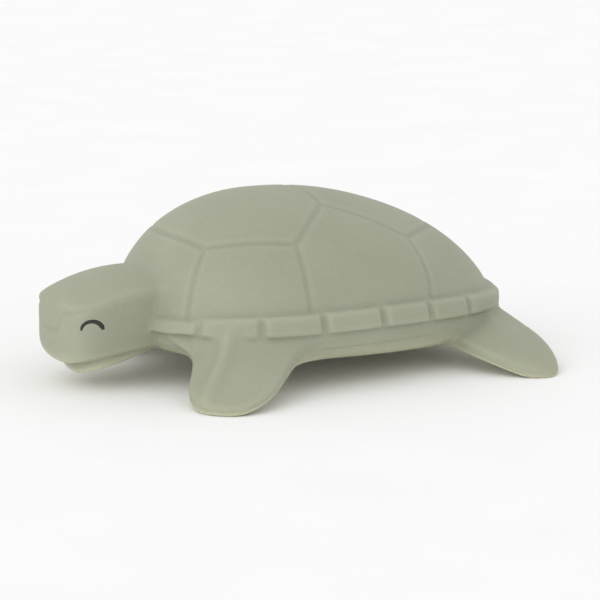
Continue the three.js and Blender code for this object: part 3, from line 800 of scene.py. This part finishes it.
def eye(name, node, side, field, material):
    """A printed arch on one cheek: a thin strip that follows the skin, rounded at its edges."""
    vertices = []
    for i in range(EYE_STEPS + 1):
        share = i / EYE_STEPS
        angle = math.pi * lerp(*EYE_SWEEP, share)
        end = min(1, EYE_END + EYE_END_GROWTH * min(i, EYE_STEPS - i) / EYE_STEPS)
        half_stroke = EYE_STROKE / 2 * lerp(*EYE_TAPER, share) * end
        middle = NOSE_Y + EYE_SETBACK - EYE_LEAN * math.sin(angle)
        for across, lift in EYE_PROFILE:
            y = middle - (EYE_HALF_WIDTH + across * half_stroke) * math.cos(angle)
            z = EYE_Z + (EYE_RISE + across * half_stroke) * math.sin(angle)
            x = side * (cheek_x(field, y, z) + lift)
            vertices.append((x * MM, (y + ORIGIN_Y) * MM, z * MM))
    n = len(EYE_PROFILE)
    faces = []
    for i in range(EYE_STEPS):
        for j in range(n):
            a, b = i * n + j, i * n + (j + 1) % n
            faces.append((a, b, b + n, a + n))
    faces += [tuple(range(n))[::-1], tuple(range(EYE_STEPS * n, EYE_STEPS * n + n))]
    mesh = bpy.data.meshes.new(name)
    mesh.from_pydata(vertices, [], [face[::-side] for face in faces])
    mesh.materials.append(material)
    mesh.shade_smooth()
    piece = bpy.data.objects.new(name, mesh)
    bpy.context.scene.collection.objects.link(piece)
    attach(piece, "root")
    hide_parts(node)
    return piece


# Materials: the scales are of noise, and heights are in millimetres

# The "under" colours are painted bounce light: lighter, yellower rubber on faces turned down near
# the floor, in place of light thrown up by the white floor
RUBBER = {
    "dark": (0.332, 0.347, 0.254),
    "light": (0.366, 0.381, 0.282),
    "low_edge": (0.394, 0.394, 0.264),
    "under": (0.55, 0.543, 0.39),
}
LOWER_RUBBER = {
    "dark": (0.332, 0.345, 0.249),
    "light": (0.366, 0.378, 0.276),
    "low_edge": (0.398, 0.396, 0.264),
    "under": (0.55, 0.543, 0.39),
}
CLOUD_SCALE = 45
LOW_EDGE_Z = 7
LOW_EDGE_SHARE = 0.55
BOUNCE_LIGHT_FACING = (0.05, -0.65)  # the normal's Z, from none of the painted bounce light to all of it
# heights over which the painted bounce light grows from none to all of it
BOUNCE_LIGHT_Z = (11, 6)
RELIEF_LIGHT_AND_SHADE = (0.88, 1.12)  # from painted shade in hollows to painted highlights on edges
SPECK_SCALE = 1400
SPECKS = [(0.3, (0.95,) * 3), (0.65, (1.0,) * 3)]
ROUGHNESS_SCALE = 160
ROUGHNESS = (0.5, 0.68)
GRAIN_SCALE = 1100
GRAIN_STRENGTH = 0.12
GRAIN_HEIGHT = 0.15
INK_SCALE = 2500
INK = [(0.3, (0.016, 0.017, 0.015)), (0.7, (0.030, 0.032, 0.028))]
INK_ROUGHNESS = 0.5


def node_material(name):
    material = bpy.data.materials.new(name)
    material.use_nodes = True
    nodes = material.node_tree.nodes
    shader = nodes["Principled BSDF"]
    place = nodes.new("ShaderNodeTexCoord")
    return material, nodes, material.node_tree.links, shader, place.outputs["Object"]


def noise(nodes, links, place, scale, detail):
    texture = nodes.new("ShaderNodeTexNoise")
    texture.inputs["Scale"].default_value = scale
    texture.inputs["Detail"].default_value = detail
    links.new(place, texture.inputs["Vector"])
    return texture.outputs["Fac"]


def ramp(nodes, links, value, stops):
    """A value turned into a colour between two stops."""
    band = nodes.new("ShaderNodeValToRGB")
    for element, (position, colour) in zip(band.color_ramp.elements, stops):
        element.position = position
        element.color = (*colour, 1)
    links.new(value, band.inputs["Fac"])
    return band.outputs["Color"]


def mapped(nodes, links, value, start, end):
    """A value taken from one range to another, and kept within it."""
    band = nodes.new("ShaderNodeMapRange")
    for socket, limit in zip(("From Min", "From Max", "To Min", "To Max"), (*start, *end)):
        band.inputs[socket].default_value = limit
    links.new(value, band.inputs["Value"])
    return band.outputs["Result"]


def height(nodes, links, vector):
    split = nodes.new("ShaderNodeSeparateXYZ")
    links.new(vector, split.inputs["Vector"])
    return split.outputs["Z"]


def mix(nodes, links, share, a, b, mode="MIX"):
    blend = nodes.new("ShaderNodeMix")
    blend.data_type = "RGBA"
    blend.blend_type = mode
    for name, value in (("Factor", share), ("A", a), ("B", b)):
        socket = blend.inputs[name]
        if isinstance(value, bpy.types.NodeSocket):
            links.new(value, socket)
        else:
            socket.default_value = value
    return blend.outputs["Result"]


def rubber_material(name, dark, light, low_edge, under):
    material, nodes, links, shader, place = node_material(name)
    cloudy = noise(nodes, links, place, CLOUD_SCALE, 4)
    colour = ramp(nodes, links, cloudy, [(0.3, dark), (0.7, light)])
    z = height(nodes, links, place)
    lowness = mapped(nodes, links, z, (LOW_EDGE_Z * MM, 0), (0, LOW_EDGE_SHARE))
    colour = mix(nodes, links, lowness, colour, (*low_edge, 1))
    # Painted bounce light: faces turned down near the floor take the lighter "under" colour
    normal = nodes.new("ShaderNodeNewGeometry").outputs["Normal"]
    downward = mapped(nodes, links, height(nodes, links, normal), BOUNCE_LIGHT_FACING, (0, 1))
    near_floor = mapped(nodes, links, z, [limit * MM for limit in BOUNCE_LIGHT_Z], (0, 1))
    painted_bounce_light = nodes.new("ShaderNodeMath")
    painted_bounce_light.operation = "MULTIPLY"
    links.new(downward, painted_bounce_light.inputs[0])
    links.new(near_floor, painted_bounce_light.inputs[1])
    colour = mix(nodes, links, painted_bounce_light.outputs["Value"], colour, (*under, 1))
    # Painted highlights on convex edges and painted shade in hollows, from the skin's convexity
    edge_light_hollow_shade = nodes.new("ShaderNodeAttribute")
    edge_light_hollow_shade.attribute_name = "edge_light_hollow_shade"
    painted_relief_light = mapped(nodes, links, edge_light_hollow_shade.outputs["Fac"], (-1, 1), RELIEF_LIGHT_AND_SHADE)
    colour = mix(nodes, links, 1.0, colour, painted_relief_light, "MULTIPLY")
    specks = ramp(nodes, links, noise(nodes, links, place, SPECK_SCALE, 2), SPECKS)
    links.new(mix(nodes, links, 1.0, colour, specks, "MULTIPLY"), shader.inputs["Base Color"])
    patchy = noise(nodes, links, place, ROUGHNESS_SCALE, 3)
    links.new(mapped(nodes, links, patchy, (0, 1), ROUGHNESS), shader.inputs["Roughness"])
    bump = nodes.new("ShaderNodeBump")
    bump.inputs["Strength"].default_value = GRAIN_STRENGTH
    bump.inputs["Distance"].default_value = GRAIN_HEIGHT * MM
    links.new(noise(nodes, links, place, GRAIN_SCALE, 3), bump.inputs["Height"])
    links.new(bump.outputs["Normal"], shader.inputs["Normal"])
    return material


def ink_material(name):
    material, nodes, links, shader, place = node_material(name)
    colour = ramp(nodes, links, noise(nodes, links, place, INK_SCALE, 2), INK)
    links.new(colour, shader.inputs["Base Color"])
    shader.inputs["Roughness"].default_value = INK_ROUGHNESS
    return material


# Pieces

flipper_runs = [along_flipper(flipper) for flipper in FLIPPERS]
toy = softened(toy_field(flipper_runs))
seam = seam_height(flipper_runs)[:, :, 0]
# Convexity of the skin, for painted highlights on edges and painted shade in hollows: a half less
# the share of rubber averaged round each place
edge_light_hollow_shade = (0.5 - blurred(np.clip(0.5 - toy / STEP, 0, 1), RELIEF_REACH)) / RELIEF_SCALE
whole_skin = levelled_skin(toy, seam)

rubber = rubber_material("rubber", **RUBBER)
lower_rubber = rubber_material("lower_rubber", **LOWER_RUBBER)
ink = ink_material("ink")

cap_places = seam_places(toy, seam)
upper_mesh = half_mesh(whole_skin, "upper_half_skin", True, cap_places)
lower_mesh = half_mesh(whole_skin, "lower_half_skin", False, cap_places)
whole_skin.free()
upper_skin = skin("upper_half_skin", "upper_half", upper_mesh, seam, edge_light_hollow_shade, rubber)
lower_skin = skin("lower_half_skin", "lower_half", lower_mesh, seam, edge_light_hollow_shade, lower_rubber)
eye("left_eye_print", "left_eye", 1, toy, ink)
eye("right_eye_print", "right_eye", -1, toy, ink)

# Stage

CAMERA_AZIMUTH = math.radians(63)
CAMERA_ELEVATION = math.radians(13)
CAMERA_DISTANCE = 650
PIXELS_PER_MM = 3.95
FRAME_PIXELS = 600
AIM_RIGHT = 4.8  # the middle of the frame, from the point on the floor that the view starts from
AIM_UP = 15.2
AIM_FROM_Y = 5
FLOOR_HALF_SIZE = 2.5  # metres
FLOOR = [(0.3, (0.97,) * 3), (0.7, (0.99,) * 3)]
FLOOR_SCALE = 30
FLOOR_ROUGHNESS = 0.9
KEY_ENERGY = 0.7
KEY_ANGLE = math.radians(60)
KEY_DIRECTION = (-0.25, 0.8, -0.6)
STUDIO_STRENGTH = 0.86


def floor_material():
    material, nodes, links, shader, place = node_material("floor")
    grain = ramp(nodes, links, noise(nodes, links, place, FLOOR_SCALE, 2), FLOOR)
    links.new(grain, shader.inputs["Base Color"])
    shader.inputs["Roughness"].default_value = FLOOR_ROUGHNESS
    return material


def make_floor():
    mesh = bpy.data.meshes.new("floor")
    turns = ((-1, -1), (1, -1), (1, 1), (-1, 1))
    corners = [(x * FLOOR_HALF_SIZE, y * FLOOR_HALF_SIZE, 0) for x, y in turns]
    mesh.from_pydata(corners, [], [(0, 1, 2, 3)])
    mesh.materials.append(floor_material())
    plane = bpy.data.objects.new("floor", mesh)
    bpy.context.scene.collection.objects.link(plane)


def make_camera():
    a, e = CAMERA_AZIMUTH, CAMERA_ELEVATION
    right = Vector((math.cos(a), math.sin(a), 0))
    back = Vector((math.sin(a) * math.cos(e), -math.cos(a) * math.cos(e), math.sin(e)))
    up = back.cross(right)
    start = Vector((0, AIM_FROM_Y + ORIGIN_Y, 0))
    place = start + CAMERA_DISTANCE * back
    aim = start + AIM_RIGHT * right + AIM_UP * up
    data = bpy.data.cameras.new("camera")
    data.angle = 2 * math.atan(FRAME_PIXELS / 2 / (PIXELS_PER_MM * CAMERA_DISTANCE))
    data.clip_start = 0.01
    camera = bpy.data.objects.new("camera", data)
    camera.location = place * MM
    camera.rotation_mode = "QUATERNION"
    camera.rotation_quaternion = (aim - place).to_track_quat("-Z", "Y")
    bpy.context.scene.collection.objects.link(camera)
    bpy.context.scene.camera = camera


def make_key():
    """A broad soft light from above the head's left, even over the whole floor."""
    data = bpy.data.lights.new("key", "SUN")
    data.energy = KEY_ENERGY
    data.angle = KEY_ANGLE
    lamp = bpy.data.objects.new("key", data)
    lamp.rotation_mode = "QUATERNION"
    lamp.rotation_quaternion = Vector(KEY_DIRECTION).to_track_quat("-Z", "Y")
    bpy.context.scene.collection.objects.link(lamp)


def make_world():
    """An even white studio, dimmer as light than as the background that the camera sees."""
    world = bpy.data.worlds.new("studio")
    world.use_nodes = True
    nodes = world.node_tree.nodes
    links = world.node_tree.links
    glow = nodes["Background"]
    plain = nodes.new("ShaderNodeBackground")
    for background in (glow, plain):
        background.inputs["Color"].default_value = (1, 1, 1, 1)
    glow.inputs["Strength"].default_value = STUDIO_STRENGTH
    path = nodes.new("ShaderNodeLightPath")
    chosen = nodes.new("ShaderNodeMixShader")
    links.new(path.outputs["Is Camera Ray"], chosen.inputs["Fac"])
    links.new(glow.outputs["Background"], chosen.inputs[1])
    links.new(plain.outputs["Background"], chosen.inputs[2])
    links.new(chosen.outputs["Shader"], nodes["World Output"].inputs["Surface"])
    bpy.context.scene.world = world


make_floor()
make_camera()
make_world()
make_key()
bpy.context.scene.view_settings.view_transform = "Standard"
